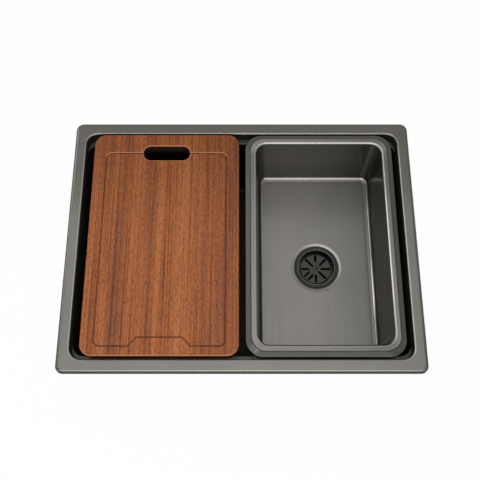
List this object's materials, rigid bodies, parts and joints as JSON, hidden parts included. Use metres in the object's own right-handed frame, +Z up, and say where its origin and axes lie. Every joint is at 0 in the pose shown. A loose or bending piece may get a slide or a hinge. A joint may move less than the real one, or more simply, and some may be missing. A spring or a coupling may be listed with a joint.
{
  "type": "workstation kitchen sink",
  "caption": "Drop-in steel kitchen sink: one deep bowl with ledges that carry a wooden cutting board and a lift-out basin with a strainer, and a basket drain below.",
  "frame": {"origin": "centre of the rim, on the top surface of the worktop that the rim rests on", "axes": "+X to the right along the length, +Y to the rear, +Z up out of the worktop"},
  "size_m": [0.6, 0.45, 0.384],
  "materials": {
    "gunmetal_steel": "gunmetal coated, satin brushed",
    "dark_steel": "black coated, satin",
    "bright_steel": "plain stainless, satin",
    "zinc_steel": "zinc plated",
    "chrome_tube": "polished",
    "black_rubber": "matte",
    "pad_rubber": "matte, lightly textured",
    "fibre_ring": "matte fibre board",
    "nut_plastic": "moulded, matte",
    "board_wood": "oiled reddish hardwood, straight grain"
  },
  "bodies": {
    "sink": {"sink_rim": "gunmetal_steel", "sink_bowl": "gunmetal_steel", "rim_seal": "black_rubber", "clip_rails": "bright_steel", "clip_brackets": "zinc_steel", "clip_claws": "zinc_steel", "clip_screws": "zinc_steel", "sound_pad_front": "pad_rubber", "sound_pad_rear": "pad_rubber", "sound_pad_left": "pad_rubber", "sound_pad_right": "pad_rubber", "sound_pad_base": "pad_rubber", "drain_body": "bright_steel", "drain_gasket": "black_rubber", "drain_friction_ring": "fibre_ring", "drain_locknut": "nut_plastic", "tail_washer": "black_rubber", "tailpiece": "chrome_tube", "tail_nut": "nut_plastic"},
    "cutting_board": {"cutting_board": "board_wood"},
    "inner_basin": {"basin_tub": "gunmetal_steel", "basin_drain_ring": "dark_steel", "basin_drain_gasket": "black_rubber", "basin_drain_nut": "nut_plastic"},
    "basin_strainer": {"basin_strainer": "dark_steel", "strainer_grip": "dark_steel"},
    "drain_basket": {"drain_basket": "bright_steel", "basket_stopper": "black_rubber", "basket_post": "bright_steel"}
  },
  "joints": [
    {"name": "board_lift", "type": "slide", "parent": "sink", "child": "cutting_board", "axis": [0, 0, 1], "range_m": [0, 0.1]},
    {"name": "basin_lift", "type": "slide", "parent": "sink", "child": "inner_basin", "axis": [0, 0, 1], "range_m": [0, 0.14]},
    {"name": "strainer_lift", "type": "slide", "parent": "inner_basin", "child": "basin_strainer", "axis": [0, 0, 1], "range_m": [0, 0.05]},
    {"name": "basket_lift", "type": "slide", "parent": "sink", "child": "drain_basket", "axis": [0, 0, 1], "range_m": [0, 0.06]}
  ]
}
